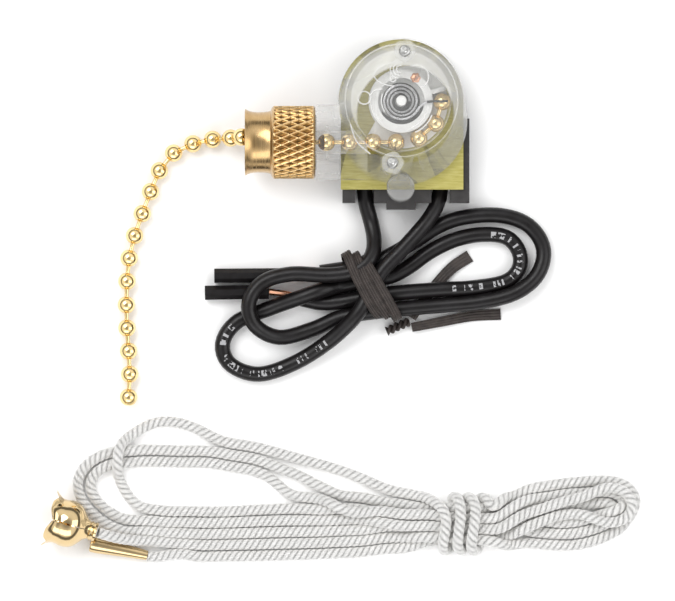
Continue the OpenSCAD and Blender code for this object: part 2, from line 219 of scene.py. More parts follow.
def joined(parts):
    """Several (vertices, faces) as one."""
    verts, faces, first = [], [], 0
    for v, f in parts:
        verts.append(np.asarray(v))
        faces += [tuple(i + first for i in face) for face in f]
        first += len(v)
    return np.vstack(verts), faces


def placed(part, matrix):
    """A (vertices, faces) moved by a 4x4 matrix."""
    v, f = part
    m = np.array(matrix)
    return v @ m[:3, :3].T + m[:3, 3], f


def axes_from(direction, origin=(0, 0, 0)):
    """A matrix whose Z axis is the direction."""
    z = np.array(direction, float)
    z /= np.linalg.norm(z)
    x = np.cross((0, 0, 1) if abs(z[2]) < 0.9 else (0, 1, 0), z)
    x /= np.linalg.norm(x)
    m = np.eye(4)
    m[:3, 0], m[:3, 1], m[:3, 2], m[:3, 3] = x, np.cross(z, x), z, origin
    return m


def make(name, part, material, body, smooth=60.0, replaces=()):
    """A mesh object in metres from a part in millimetres, riding on a body."""
    verts, faces = part
    mesh = bpy.data.meshes.new(name)
    mesh.from_pydata((np.asarray(verts) * MM).tolist(), [], faces)
    mesh.validate()
    clean = bmesh.new()
    clean.from_mesh(mesh)
    bmesh.ops.remove_doubles(clean, verts=clean.verts, dist=1e-7)
    bmesh.ops.recalc_face_normals(clean, faces=clean.faces)
    clean.to_mesh(mesh)
    clean.free()
    return finish_piece(name, mesh, material, body, smooth, replaces)


def finish_piece(name, mesh, material, body, smooth=60.0, replaces=()):
    """Smooths a mesh up to an angle, and puts it in the scene on its body."""
    mesh.polygons.foreach_set("use_smooth", [True] * len(mesh.polygons))
    mesh.set_sharp_from_angle(angle=math.radians(smooth))
    piece = bpy.data.objects.new(name, mesh)
    mesh.materials.append(material)
    bpy.context.scene.collection.objects.link(piece)
    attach(piece, body)
    if replaces:
        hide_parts(*replaces)
    return piece


def softened(node, width, material, body):
    """A copy of a CAD node in its place, with its edges rounded where width isn't 0."""
    mesh = frame["nodes"][node].data.copy()
    mesh.materials.clear()
    work = bmesh.new()
    work.from_mesh(mesh)
    bmesh.ops.remove_doubles(work, verts=work.verts, dist=1e-7)
    if width:
        bmesh.ops.dissolve_limit(work, angle_limit=math.radians(1.0), verts=work.verts, edges=work.edges)
        sharp = [e for e in work.edges if len(e.link_faces) == 2 and e.calc_face_angle(0) > math.radians(35)]
        bmesh.ops.bevel(work, geom=sharp, offset=width * MM, offset_type="OFFSET", segments=2, profile=0.5,
                        affect="EDGES", clamp_overlap=True)
        bmesh.ops.triangulate(work, faces=[f for f in work.faces if len(f.verts) > 4])
    work.to_mesh(mesh)
    work.free()
    return finish_piece(node + "_moulded", mesh, material, body, 20.0, (node,))


# ---------------------------------------------------------------- materials

def new_material(name, colour, roughness, metallic=0.0, **sockets):
    material = bpy.data.materials.new(name)
    material.use_nodes = True
    shader = material.node_tree.nodes["Principled BSDF"]
    shader.inputs["Base Color"].default_value = (*colour, 1)
    shader.inputs["Roughness"].default_value = roughness
    shader.inputs["Metallic"].default_value = metallic
    for key, value in sockets.items():
        shader.inputs[key.replace("_", " ")].default_value = value
    return material


def node_of(material, kind, **inputs):
    made = material.node_tree.nodes.new(kind)
    for key, value in inputs.items():
        made.inputs[key.replace("_", " ")].default_value = value
    return made


def coordinates(material, scale=(1, 1, 1), uv=False, turn=(0, 0, 0)):
    """Object coordinates in metres, or the piece's own UV, scaled."""
    tree = material.node_tree
    source = tree.nodes.new("ShaderNodeTexCoord")
    mapping = tree.nodes.new("ShaderNodeMapping")
    mapping.inputs["Scale"].default_value = scale
    mapping.inputs["Rotation"].default_value = turn
    tree.links.new(source.outputs["UV" if uv else "Object"], mapping.inputs["Vector"])
    return mapping.outputs["Vector"]


def noise(material, vector, scale, detail=4.0, roughness=0.55, distortion=0.0):
    made = node_of(material, "ShaderNodeTexNoise", Scale=scale, Detail=detail, Roughness=roughness,
                   Distortion=distortion)
    material.node_tree.links.new(vector, made.inputs["Vector"])
    return made.outputs["Fac"]


def ramp(material, factor, stops):
    made = material.node_tree.nodes.new("ShaderNodeValToRGB")
    elements = made.color_ramp.elements
    while len(elements) < len(stops):
        elements.new(0.5)
    for element, (place, colour) in zip(elements, stops):
        element.position = place
        element.color = (*colour, 1) if len(colour) == 3 else colour
    material.node_tree.links.new(factor, made.inputs["Fac"])
    return made.outputs["Color"]


def maths(material, kind, *values):
    """A maths node. Numbers go on its sockets, and outputs are linked to them."""
    made = material.node_tree.nodes.new("ShaderNodeMath")
    made.operation = kind
    for socket, value in zip(made.inputs, values):
        if isinstance(value, float):
            socket.default_value = value
        else:
            material.node_tree.links.new(value, socket)
    return made.outputs[0]


def link(material, output, socket):
    material.node_tree.links.new(output, material.node_tree.nodes["Principled BSDF"].inputs[socket])


def bump(material, height, strength, distance):
    """Adds a bump after any bump the shader already has. distance is in metres."""
    tree = material.node_tree
    made = tree.nodes.new("ShaderNodeBump")
    made.inputs["Strength"].default_value = strength
    made.inputs["Distance"].default_value = distance
    tree.links.new(height, made.inputs["Height"])
    shader = tree.nodes["Principled BSDF"]
    if shader.inputs["Normal"].is_linked:
        tree.links.new(shader.inputs["Normal"].links[0].from_socket, made.inputs["Normal"])
    tree.links.new(made.outputs["Normal"], shader.inputs["Normal"])


def grey(value):
    return (value, value, value)


def plain_detail(material, colour, spread, scale, rough=(0.35, 0.5), bump_m=0.00001):
    """Slight variation of colour and roughness, and a fine bump."""
    vector = coordinates(material)
    spots = noise(material, vector, scale)
    low = tuple(c * (1 - spread) for c in colour)
    high = tuple(min(1, c * (1 + spread)) for c in colour)
    link(material, ramp(material, spots, [(0.3, low), (0.7, high)]), "Base Color")
    link(material, ramp(material, noise(material, vector, scale * 3), [(0.3, grey(rough[0])), (0.7, grey(rough[1]))]),
         "Roughness")
    bump(material, noise(material, vector, scale * 6, 3), 0.5, bump_m)
    return material


def black_plastic():
    colour = (0.024, 0.022, 0.022)
    return plain_detail(new_material("black_plastic", colour, 0.42), colour, 0.3, 700, (0.36, 0.5), 0.00002)


def fibre():
    m = new_material("vulcanised_fibre", (0.430, 0.413, 0.112), 0.45, Specular_IOR_Level=0.4)
    streaks = noise(m, coordinates(m, (1, 9, 1), turn=(0, 0, 0.12)), 320, 6, 0.65)
    link(m, ramp(m, streaks, [(0.25, (0.284, 0.249, 0.052)), (0.5, (0.404, 0.361, 0.099)),
                         (0.78, (0.516, 0.473, 0.189))]), "Base Color")
    link(m, ramp(m, noise(m, coordinates(m), 900), [(0.3, grey(0.36)), (0.7, grey(0.55))]), "Roughness")
    bump(m, streaks, 0.6, 0.00002)
    return m


def distance_from_axis(material, keep, centre=(0, 0, 0)):
    """Distance, in units of 20 mm, from a line through the centre (mm) along the axis that keep leaves out."""
    tree = material.node_tree
    place = tree.nodes.new("ShaderNodeMapping")
    place.inputs["Location"].default_value = [-c * 0.05 * k for c, k in zip(centre, keep)]
    place.inputs["Scale"].default_value = [50.0 * k for k in keep]
    tree.links.new(tree.nodes.new("ShaderNodeTexCoord").outputs["Object"], place.inputs["Vector"])
    size = tree.nodes.new("ShaderNodeVectorMath")
    size.operation = "LENGTH"
    tree.links.new(place.outputs["Vector"], size.inputs[0])
    return size.outputs["Value"]


def clear_plastic(name="clear_plastic", face=0.05, edge=0.7, colour=(0.86, 0.86, 0.845), frosted=False):
    """Clear moulding: see-through where it faces the eye, paler where its sides turn away."""
    m = new_material(name, colour, 0.12, Specular_IOR_Level=0.5)
    vector = coordinates(m)
    rim = node_of(m, "ShaderNodeLayerWeight", Blend=0.35)
    seen = ramp(m, rim.outputs["Facing"], [(0.05, grey(face)), (0.55, grey((face + edge) / 2)), (0.95, grey(edge))])
    flow = noise(m, vector, 420, 4, 0.6, 0.5)
    haze = ramp(m, flow, [(0.35, grey(0.92)), (0.75, grey(1.12))])
    alpha = maths(m, "MULTIPLY", seen, haze)
    if frosted:
        # The flange outside the drum's room is frosted, most of all at the top, but clear at the chain's way in
        def away(x, y, stops):
            out = distance_from_axis(m, (1, 1, 0), (x, y, 0))
            return ramp(m, out, [(place, grey(value)) for place, value in stops])

        ring = away(0.7, -2.4, [(0.425, 0), (0.445, 1), (0.60, 1), (0.66, 0)])
        frost = away(1.0, -16.0, [(0.3, 0.12), (0.7, 0.22), (1.0, 0.38)])
        way_in = away(-11.0, -7.4, [(0.12, 0.15), (0.32, 1)])
        alpha = maths(m, "MULTIPLY_ADD", maths(m, "MULTIPLY", ring, way_in), frost, alpha)
        lobe = away(0.0, -15.4, [(0.12, 0.13), (0.135, 0)])
        alpha = maths(m, "MULTIPLY_ADD", lobe, haze, alpha)
    link(m, alpha, "Alpha")
    link(m, ramp(m, flow, [(0.3, tuple(c * 0.96 for c in colour)), (0.8, colour)]), "Base Color")
    bump(m, noise(m, vector, 300, 3, 0.5, 0.6), 0.4, 0.00003)
    return m


def drum_plastic(name="drum_plastic"):
    m = new_material(name, (0.80, 0.80, 0.79), 0.3)
    return plain_detail(m, (0.80, 0.80, 0.785), 0.05, 300, (0.22, 0.4), 0.00001)


def brass(name, colour, roughness, scratch=0.4):
    m = new_material(name, colour, roughness, 1.0)
    vector = coordinates(m)
    cloud = noise(m, vector, 240, 5)
    low = tuple(c * 0.9 for c in colour)
    high = tuple(min(1, c * 1.06) for c in colour)
    link(m, ramp(m, cloud, [(0.3, low), (0.7, high)]), "Base Color")
    link(m, ramp(m, noise(m, vector, 900, 6), [(0.3, grey(roughness * 0.75)), (0.7, grey(roughness * 1.35))]),
         "Roughness")
    bump(m, noise(m, coordinates(m, (1, 4, 1), turn=(0, 0, 0.6)), 2500, 2), scratch, 0.000004)
    return m


def turned_brass():
    """Brass with the fine rings that a lathe leaves, round the nut's axis."""
    m = new_material("turned_brass", (0.624, 0.413, 0.187), 0.24, 1.0, Anisotropic=0.4)
    rings = noise(m, coordinates(m, (1, 0.02, 0.02)), 5200, 4, 0.7)
    cloud = noise(m, coordinates(m), 420, 5)
    link(m, ramp(m, cloud, [(0.3, (0.452, 0.289, 0.125)), (0.7, (0.562, 0.390, 0.195))]), "Base Color")
    link(m, ramp(m, rings, [(0.3, grey(0.16)), (0.7, grey(0.34))]), "Roughness")
    bump(m, rings, 0.5, 0.00001)
    return m


def knurled_brass():
    """The same brass on the grip, with painted shade darkening the bottoms of the cuts and paler brass on the ridges.
    """
    r = (nut_high[1] - nut_low[1]) / 2
    m = new_material("knurled_brass", (0.704, 0.466, 0.211), 0.25, 1.0)
    out = distance_from_axis(m, (0, 1, 1), (0, AXIS_Y, AXIS_Z))
    scale = m.node_tree.nodes.new("ShaderNodeMapRange")
    m.node_tree.links.new(out, scale.inputs["Value"])
    scale.inputs["From Min"].default_value = (r - 0.36) * 0.05
    scale.inputs["From Max"].default_value = r * 0.05
    # Painted shade: the colour runs from near black at the bottom of a cut to pale brass on the ridge.
    link(m, ramp(m, scale.outputs["Result"], [(0.0, (0.176, 0.088, 0.026)), (0.45, (0.458, 0.273, 0.097)),
                                              (1.0, (0.810, 0.581, 0.308))]), "Base Color")
    link(m, ramp(m, noise(m, coordinates(m), 900, 6), [(0.3, grey(0.2)), (0.7, grey(0.34))]), "Roughness")
    return m


def steel():
    m = new_material("spring_steel", (0.46, 0.46, 0.48), 0.28, 1.0)
    vector = coordinates(m)
    link(m, ramp(m, noise(m, vector, 1500, 4), [(0.3, grey(0.2)), (0.7, grey(0.4))]), "Roughness")
    link(m, ramp(m, noise(m, vector, 500, 4), [(0.3, (0.50, 0.50, 0.52)), (0.7, (0.66, 0.66, 0.68))]), "Base Color")
    return m


# Dark steel for the spring's end, and painted shade in the drum's well.
def dark_steel_and_shade():
    m = new_material("dark_steel_and_shade", (0.02, 0.02, 0.022), 0.35, 0.6)
    return plain_detail(m, (0.02, 0.02, 0.022), 0.4, 900, (0.28, 0.45))


def pin_metal():
    m = new_material("pin_metal", (0.72, 0.72, 0.71), 0.3, 0.85)
    return plain_detail(m, (0.42, 0.42, 0.41), 0.2, 900, (0.2, 0.42), 0.00001)


def insulation():
    """Satin black insulation. Uneven short bars in two groups stand in for print: they say nothing."""
    m = new_material("lead_insulation", (0.013, 0.012, 0.012), 0.36, Specular_IOR_Level=0.3)
    tree = m.node_tree
    vector = coordinates(m)
    cloud = noise(m, vector, 500, 4)
    base = ramp(m, cloud, [(0.3, (0.004, 0.003, 0.003)), (0.7, (0.009, 0.008, 0.009))])
    split = tree.nodes.new("ShaderNodeSeparateXYZ")
    tree.links.new(tree.nodes.new("ShaderNodeTexCoord").outputs["UV"], split.inputs["Vector"])
    along, round_it = split.outputs["X"], split.outputs["Y"]
    cells = tree.nodes.new("ShaderNodeTexWhiteNoise")
    cells.noise_dimensions = "1D"
    tree.links.new(maths(m, "FLOOR", maths(m, "MULTIPLY", along, 2.6)), cells.inputs["W"])
    bars = maths(m, "GREATER_THAN", cells.outputs["Value"], 0.45)
    gaps = maths(m, "LESS_THAN", maths(m, "FRACT", maths(m, "MULTIPLY", along, 0.62)), 0.78)

    def within(value, middle, reach):
        return maths(m, "LESS_THAN", maths(m, "ABSOLUTE", maths(m, "SUBTRACT", value, middle)), reach)

    group = maths(m, "ADD", within(along, 53.0, 14.0), within(along, 129.0, 12.0))
    worn = maths(m, "GREATER_THAN", noise(m, vector, 1500, 2), 0.47)
    mask = maths(m, "MULTIPLY", maths(m, "MULTIPLY", maths(m, "MULTIPLY", bars, gaps), group),
                 maths(m, "MULTIPLY", within(round_it, 0.25, 0.065), worn))
    mix = tree.nodes.new("ShaderNodeMix")
    mix.data_type = "RGBA"
    tree.links.new(mask, mix.inputs["Factor"])
    tree.links.new(base, mix.inputs["A"])
    mix.inputs["B"].default_value = (0.36, 0.36, 0.37, 1)
    link(m, mix.outputs["Result"], "Base Color")
    link(m, ramp(m, noise(m, vector, 1200, 5), [(0.3, grey(0.27)), (0.7, grey(0.40))]), "Roughness")
    bump(m, noise(m, coordinates(m, (2, 2, 2)), 900, 4), 0.35, 0.00002)
    return m


def tie_paper():
    m = new_material("tie_paper", (0.046, 0.035, 0.031), 0.62)
    ribs = noise(m, coordinates(m, (1, 1, 1), uv=True), 1.0, 2)
    link(m, ramp(m, noise(m, coordinates(m), 900, 5), [(0.3, (0.018, 0.013, 0.011)), (0.7, (0.046, 0.035, 0.031))]),
         "Base Color")
    link(m, ramp(m, ribs, [(0.3, grey(0.5)), (0.7, grey(0.72))]), "Roughness")
    bump(m, noise(m, coordinates(m), 2600, 3), 0.5, 0.00003)
    return m


def cord_fibre():
    m = new_material("white_cord", (0.86, 0.855, 0.83), 0.78, Sheen_Weight=0.35, Subsurface_Weight=0.75,
                     Subsurface_Scale=0.0012, Subsurface_Radius=(1.0, 1.0, 1.0))
    vector = coordinates(m)
    link(m, ramp(m, noise(m, vector, 500, 5), [(0.3, (0.73, 0.72, 0.695)), (0.7, (0.81, 0.80, 0.775))]), "Base Color")
    lines = noise(m, coordinates(m, (0.35, 14, 1), uv=True), 4.0, 3)
    bump(m, lines, 0.4, 0.00006)
    bump(m, noise(m, vector, 4000, 3), 0.4, 0.00003)
    return m


def copper():
    return brass("copper", (0.80, 0.42, 0.27), 0.3)


def rotor_plastic():
    m = new_material("rotor_plastic", (0.3, 0.1, 0.05), 0.4)
    return plain_detail(m, (0.3, 0.1, 0.05), 0.2, 600)


MATERIALS = {
    "black_phenolic": black_plastic(),
    "vulcanised_fibre": fibre(),
    "clear_plastic": clear_plastic(frosted=True),
    "pin_metal": pin_metal(),
    "post_plastic": drum_plastic("post_plastic"),
    "copper": copper(),
    "terminal_brass": brass("terminal_brass", (0.82, 0.64, 0.32), 0.3),
    "lead_insulation": insulation(),
    "tie_paper": tie_paper(),
    "drum_plastic": drum_plastic(),
    "spring_steel": steel(),
    "chain_brass": brass("chain_brass", (0.92, 0.70, 0.34), 0.13),
    "rotor_plastic": rotor_plastic(),
    "nut_brass": turned_brass(),
    "white_cord": cord_fibre(),
    "bell_brass": brass("bell_brass", (0.70, 0.53, 0.29), 0.07, 0.15),
}
slot_of = {part["node"]: part["material_slot"] for part in frame["record"]["subparts"]}
for name, node in frame["nodes"].items():
    node.data.materials.clear()
    node.data.materials.append(MATERIALS[slot_of[name]])


# ---------------------------------------------------------------- leads

LEAD_D = 2.8
LEAD_LEFT = [
    (-6.6, -12.2, 2.4), (-6.6, -15.8, 2.4), (-6.3, -18.5, 2.1), (-5.5, -21.4, 1.8), (-4.9, -24.3, 2.6),
    (-5.0, -27.0, 4.0), (-6.2, -29.2, 4.9), (-8.8, -30.8, 5.0), (-13.4, -31.4, 4.8), (-20.0, -31.2, 4.5),
    (-25.2, -32.8, 4.5), (-27.6, -36.6, 4.5), (-26.4, -40.6, 3.9), (-22.0, -42.7, 2.2),
    (-16.0, -41.2, 1.5), (-11.0, -39.1, 1.7), (-5.3, -38.1, 2.0), (0.4, -37.5, 2.0), (7.2, -36.9, 2.0),
    (14.6, -36.2, 2.4), (20.6, -34.7, 2.6), (24.5, -31.8, 2.2), (26.0, -28.0, 1.7), (25.2, -24.6, 1.5),
    (22.4, -21.8, 1.5), (17.8, -20.5, 1.5), (12.0, -20.8, 1.5), (7.2, -22.3, 1.5), (1.6, -25.8, 1.6),
    (-5.3, -29.4, 1.9), (-9.8, -30.2, 1.7), (-14.6, -30.9, 1.5),
]
LEAD_RIGHT = [
    (7.2, -12.2, 2.4), (7.2, -15.8, 2.4), (6.7, -18.2, 3.0), (5.6, -20.4, 3.8), (3.8, -22.8, 4.5),
    (0.2, -26.8, 4.9), (-3.2, -30.4, 5.0), (-5.7, -34.4, 4.9), (-7.8, -38.3, 5.0), (-12.4, -42.9, 3.2),
    (-19.0, -47.2, 1.6), (-25.8, -49.4, 1.5), (-31.0, -47.6, 1.5), (-32.4, -43.8, 1.5),
    (-29.8, -39.9, 1.5), (-24.0, -37.5, 1.5), (-18.4, -35.5, 3.2), (-14.6, -34.2, 3.5),
    (-11.0, -33.3, 1.9), (-5.3, -32.3, 2.0), (-1.6, -31.5, 1.8), (1.6, -29.8, 1.5), (5.4, -27.1, 1.5),
    (10.0, -24.9, 1.5), (14.8, -24.0, 1.5), (19.2, -24.5, 1.5), (21.5, -27.1, 1.5), (21.5, -30.2, 1.5),
    (19.0, -32.6, 1.5), (13.0, -33.7, 1.8), (7.2, -34.0, 2.0), (0.6, -34.5, 2.0), (-5.3, -35.2, 2.0),
    (-11.0, -36.2, 1.7), (-14.6, -36.4, 1.5), (-18.0, -35.7, 1.45),
]


def swept_piece(name, strands, material, body, replaces=(), smooth=60.0, start=0.0):
    """One mesh of several tubes. Each strand is (line, radius, sides, offset); UV is (mm along, share round)."""
    verts, faces, uvs, first = [], [], [], 0
    for line, radius, sides, offset in strands:
        v, f = tube(line, radius, sides, offset)
        along = start + np.r_[0, np.cumsum(np.linalg.norm(np.diff(line, axis=0), axis=1))]
        verts.append(v)
        for face in f:
            faces.append(tuple(i + first for i in face))
            if len(face) == 4 and len(set(i // sides for i in face)) == 2:
                k = face[0] % sides
                shares = (k, k, k + 1, k + 1)
                uvs += [(along[i // sides], share / sides) for i, share in zip(face, shares)]
            else:
                uvs += [(0.0, 0.0)] * len(face)
        first += len(v)
    mesh = bpy.data.meshes.new(name)
    mesh.from_pydata((np.vstack(verts) * MM).tolist(), [], faces)
    layer = mesh.uv_layers.new(name="UVMap")
    layer.data.foreach_set("uv", np.array(uvs, float).ravel())
    return finish_piece(name, mesh, material, body, smooth, replaces)


def make_leads():
    # The left lead's UV starts past the two groups of bars, so it has none
    for side, points, start in (("left", LEAD_LEFT, 300.0), ("right", LEAD_RIGHT, 0.0)):
        line = spline(points, 0.9)
        piece = swept_piece(f"lead_{side}_cable", [(line, LEAD_D / 2, 24, None)], MATERIALS["lead_insulation"],
                            "switch_body", (f"lead_{side}",), start=start)


make_leads()

# ---------------------------------------------------------------- bell and ferrule

BELL_MOUTH = (-63.8, -75.4, 5.4)
BELL_TURN = math.radians(-17)
BELL_PROFILE = [(5.4, 0.0), (4.95, 0.35), (4.6, 0.8), (4.25, 1.3), (4.1, 1.8), (4.15, 2.5), (4.3, 3.2), (4.28, 4.0),
                (4.1, 4.8), (3.7, 5.5), (3.2, 6.0), (2.6, 6.5), (2.0, 6.9), (1.6, 7.6)]


def in_bell():
    """A matrix whose Z axis runs from the bell's mouth to its neck."""
    return axes_from((math.cos(BELL_TURN), math.sin(BELL_TURN), 0), BELL_MOUTH)


def make_bell():
    gold = MATERIALS["bell_brass"]

    def petals(a, r, u):
        lip = max(0, 1 - u / 2.2)
        scallop = 0.5 + 0.5 * math.cos(a * 6)
        return r * (1 - 0.10 * lip * (1 - scallop)), u + 0.75 * lip * (1 - scallop) ** 1.5

    wall = BELL_PROFILE + [(r - 0.35, u) for r, u in BELL_PROFILE[::-1]]
    for side, start in (("front", 92), ("back", -88)):
        part = lathe(wall, 88, start, 176, petals)
        make(f"bell_half_{side}_pressed", placed(part, in_bell()), gold, "cord_set", 40,
             (f"bell_half_{side}",))
    neck = [(1.05, 7.6), (1.55, 7.6), (1.72, 7.75), (1.8, 8.0), (1.62, 8.3), (1.8, 8.6), (1.7, 8.95), (1.5, 9.0),
            (1.05, 9.0)]
    return make("bell_collar_rolled", placed(lathe(neck, 48), in_bell()), gold, "cord_set", 40,
                ("bell_collar",))


def make_ferrule():
    """A tapered tube rolled from sheet, with its seam along the top."""
    profile = [(1.0, 0.15), (1.5, 0.0), (1.62, 0.3), (1.62, 1.4), (1.36, 4.5), (1.1, 7.5), (0.9, 10.2), (0.86, 10.55),
               (0.7, 10.6), (0.6, 10.2), (1.0, 2.0)]

    def seam(a, r, u):
        near = abs(math.atan2(math.sin(a - 0.6), math.cos(a - 0.6)))
        return r - 0.16 * math.exp(-(near / 0.09) ** 2), u

    heading = math.radians(-12.5)
    matrix = axes_from((math.cos(heading), math.sin(heading), -0.06), (-56.4, -80.1, 1.66))
    return make("cord_ferrule_rolled", placed(lathe(profile, 96, wave=seam), matrix), MATERIALS["bell_brass"],
                "cord_set", 40, ("cord_ferrule",))


collar = make_bell()
ferrule = make_ferrule()

# ---------------------------------------------------------------- white cord

CORD_D = 2.0
CORD_STEP = 0.32                  # between the rings of the cord's mesh
LAY = 3.3                         # along the cord, for one turn of a strand
STRAND_OFF = 0.18                 # from the cord's middle to a strand's
BUNDLE_Y = [-73.9, -75.6, -77.3, -79.0]
BUNDLE_Z = [3.0, 4.8]
WRAP_X = (15.0, 7.2)
WRAP_MIDDLE = (-76.45, 3.9)
WRAP_SIZE = (4.5, 2.8)
WRAP_TURNS = 3.0


def wrap_turns():
    """The cord's own turns round its middle, from right to left."""
    out = []
    count = int(WRAP_TURNS * 12)
    for i in range(count + 1):
        f = i / count
        a = math.radians(70) - TAU * WRAP_TURNS * f
        lean = 1.5 * math.sin(a) * math.cos(a - 0.6)
        out.append((WRAP_X[0] + (WRAP_X[1] - WRAP_X[0]) * f + lean, WRAP_MIDDLE[0] + WRAP_SIZE[0] * math.cos(a),
                    WRAP_MIDDLE[1] + WRAP_SIZE[1] * math.sin(a)))
    return out


def through(row, layer, leftwards):
    """Points where a pass of the cord goes through the wrap."""
    y, z = BUNDLE_Y[row], BUNDLE_Z[layer]
    points = [(4.0, y, z - 0.6), (8.0, y, z), (14.0, y, z), (17.5, y, z - 0.6)]
    return points[::-1] if leftwards else points


def white_route():
    """From the bell, four times to the right end and three times to the left end, and back to the ferrule."""
    route = [(-54.9, -78.1, 5.2), (-52, -79, 4.2), (-48.6, -79.6, 2.4), (-45, -79.8, 1.3)]
    route += [(-38, -80.2, 1), (-30, -80.2, 1.2), (-18.8, -80, 1.6), (-9, -79.6, 2.2), (-2, -78.8, 3.2)]
    route += through(3, 1, False)
    route += [(21, -79.4, 1.6), (25, -80, 1), (29.7, -80.2, 1), (34.9, -79.2, 1), (38.6, -77, 1), (41.6, -74.4, 1),
              (42.2, -71.8, 1), (39.8, -69.9, 1), (35, -69.8, 1), (29.4, -70.6, 1), (23, -71.9, 1.4), (18.6, -73, 3)]
    route += wrap_turns()
    route += [(4.2, -73, 5.4), (0.3, -71.6, 3.4), (-4.8, -69.3, 1.2), (-11.2, -66.8, 1), (-17.6, -65, 1),
              (-25.2, -63, 1), (-30.7, -62.6, 2.2), (-34.2, -60.8, 2), (-38.6, -58.7, 1), (-43.8, -58, 1),
              (-47.6, -59.6, 1), (-50.6, -62.4, 3.4), (-51.5, -65.4, 3.2), (-51.1, -68.6, 1), (-49.2, -72, 1),
              (-45.6, -74.8, 1), (-40.1, -75.9, 1), (-32.9, -75.4, 1), (-18.8, -74.2, 1.2), (-4.8, -74.8, 2)]
    route += through(1, 0, False)
    route += [(22, -77.4, 1), (27, -78, 1), (33, -77.6, 1), (37.8, -76.2, 1), (39.8, -74, 1), (38.2, -72, 1),
              (33, -71.9, 1), (27, -72.8, 1), (21, -73.6, 1.6)]
    route += through(0, 0, True)
    route += [(-1, -73, 2.2), (-6.5, -72.6, 1.2), (-11.1, -71.6, 1), (-13.7, -70.5, 1), (-17.5, -68.3, 1),
              (-21.9, -66.5, 1), (-27, -64.9, 1.2), (-33, -64, 1.6), (-40, -63.6, 1), (-47, -63.4, 1),
              (-52.6, -63.8, 1), (-56.6, -65.4, 1), (-58.6, -68, 1), (-58.6, -71, 1), (-56.4, -74, 1),
              (-53, -76.6, 1), (-48.6, -78.2, 1), (-43, -78.6, 1), (-37, -78.4, 1), (-30, -78.2, 1), (-18.8, -78, 1),
              (-9, -77.4, 1.2), (-3, -77.2, 2)]
    route += through(2, 0, False)
    route += [(22, -76.2, 3.6), (28, -76.4, 2.4), (34, -76.2, 2.6), (38.6, -75.2, 3), (41, -73, 3), (39.6, -71, 3),
              (35, -70.8, 3), (28, -71.8, 3), (21, -73.4, 3.4)]
    route += through(1, 1, True)
    route += [(-1.5, -75.4, 3.4), (-8, -74.4, 3), (-14, -73.4, 3), (-19.3, -71.8, 1.4), (-21.6, -70.2, 1),
              (-24.2, -67.9, 1.2), (-28, -66, 2.6), (-34, -65, 2.6), (-40, -65.2, 1.2), (-47, -65, 1.2),
              (-52, -65.6, 1.2), (-55.4, -67.2, 1), (-56.6, -69.8, 1), (-55.6, -72.4, 1), (-53, -74.8, 1),
              (-49, -76.6, 1), (-43, -77, 2.4), (-37, -76.9, 1.6), (-30, -76.6, 1), (-18.8, -76.2, 1), (-9, -76, 2.8),
              (-3, -76.2, 4)]
    route += through(2, 1, False)
    route += [(22, -75, 4.4), (28, -73.4, 4.4), (34, -71.2, 3.6), (38.4, -70.2, 3), (41.4, -71.4, 3), (42, -73.8, 3),
              (39.6, -75.6, 3.2), (34, -75.4, 3.4), (28, -75.6, 3.6), (22, -77.2, 3.6)]
    route += through(3, 0, True)
    route += [(-2, -79.6, 1.6), (-9, -80.8, 1), (-18.8, -81.5, 1), (-27, -81.8, 1), (-34, -81.8, 1), (-38.5, -82, 1)]
    route += [(-42, -82.2, 1.1), (-44.2, -82.7, 1.1), (-46, -82.5, 1.2)]
    return route


def make_white_cord():
    """Three strands laid together along the route, once it has settled and its turns have moved apart."""
    line = spline(white_route(), 1.0)
    held = np.zeros(len(line), bool)
    held[:14] = True
    held[-8:] = True
    line = relax([line], 2.2, [held], rounds=300, floor=CORD_D / 2)[0]
    line = resampled(line, CORD_STEP)
    # Settling leaves small kinks where turns meet: a short running mean takes them out
    means, on_floor = 12, 10
    for k in range(means):
        line[1:-1] = (line[:-2] + 2 * line[1:-1] + line[2:]) / 4
        if k < on_floor:
            line[:, 2] = np.maximum(line[:, 2], CORD_D / 2)
    line = resampled(line, CORD_STEP)
    along = np.r_[0, np.cumsum(np.linalg.norm(np.diff(line, axis=0), axis=1))]
    strands = []
    for k in range(3):
        a = TAU * (along / LAY + k / 3)
        offset = STRAND_OFF * np.column_stack([np.cos(a), np.sin(a)])
        strands.append((line, CORD_D / 2 - STRAND_OFF, 12, offset))
    stands_for = ("cord_hank_left", "cord_hank_right", "cord_wrap", "cord_tail_bell", "cord_tail_ferrule")
    piece = swept_piece("white_cord_line", strands, MATERIALS["white_cord"], "cord_set", stands_for, 180)


make_white_cord()


# ---------------------------------------------------------------- chain

def bead(centre, direction):
    """A hollow ball of bead chain: round, with a small rolled hole at each side for the link."""
    r = BALL_R
    hole = 0.62
    top = math.sqrt(r * r - hole * hole)
    edge = math.asin(hole / r)
    profile = [(r * math.sin(a), -r * math.cos(a)) for a in np.linspace(edge, math.pi - edge, 18)]
    profile += [(hole - 0.1, top - 0.06), (hole - 0.16, top - 0.22)]
    profile += [(hole - 0.16, -top + 0.22), (hole - 0.1, -top + 0.06)]
    return placed(lathe(profile, 32), axes_from(direction, centre))


def dumbbell(a, b):
    """The link between two balls: a pin with round ends inside them."""
    a, b = np.array(a, float), np.array(b, float)
    length = np.linalg.norm(b - a)
    shank = 0.42
    start, end = BALL_R - 0.55, length - BALL_R + 0.55
    profile = [(0.02, start - 0.1), (0.4, start), (0.44, start + 0.2), (shank, start + 0.5),
               (shank * 0.92, length / 2), (shank, end - 0.5), (0.44, end - 0.2), (0.4, end), (0.02, end + 0.1)]
    return placed(lathe(profile, 16), axes_from(b - a, a))


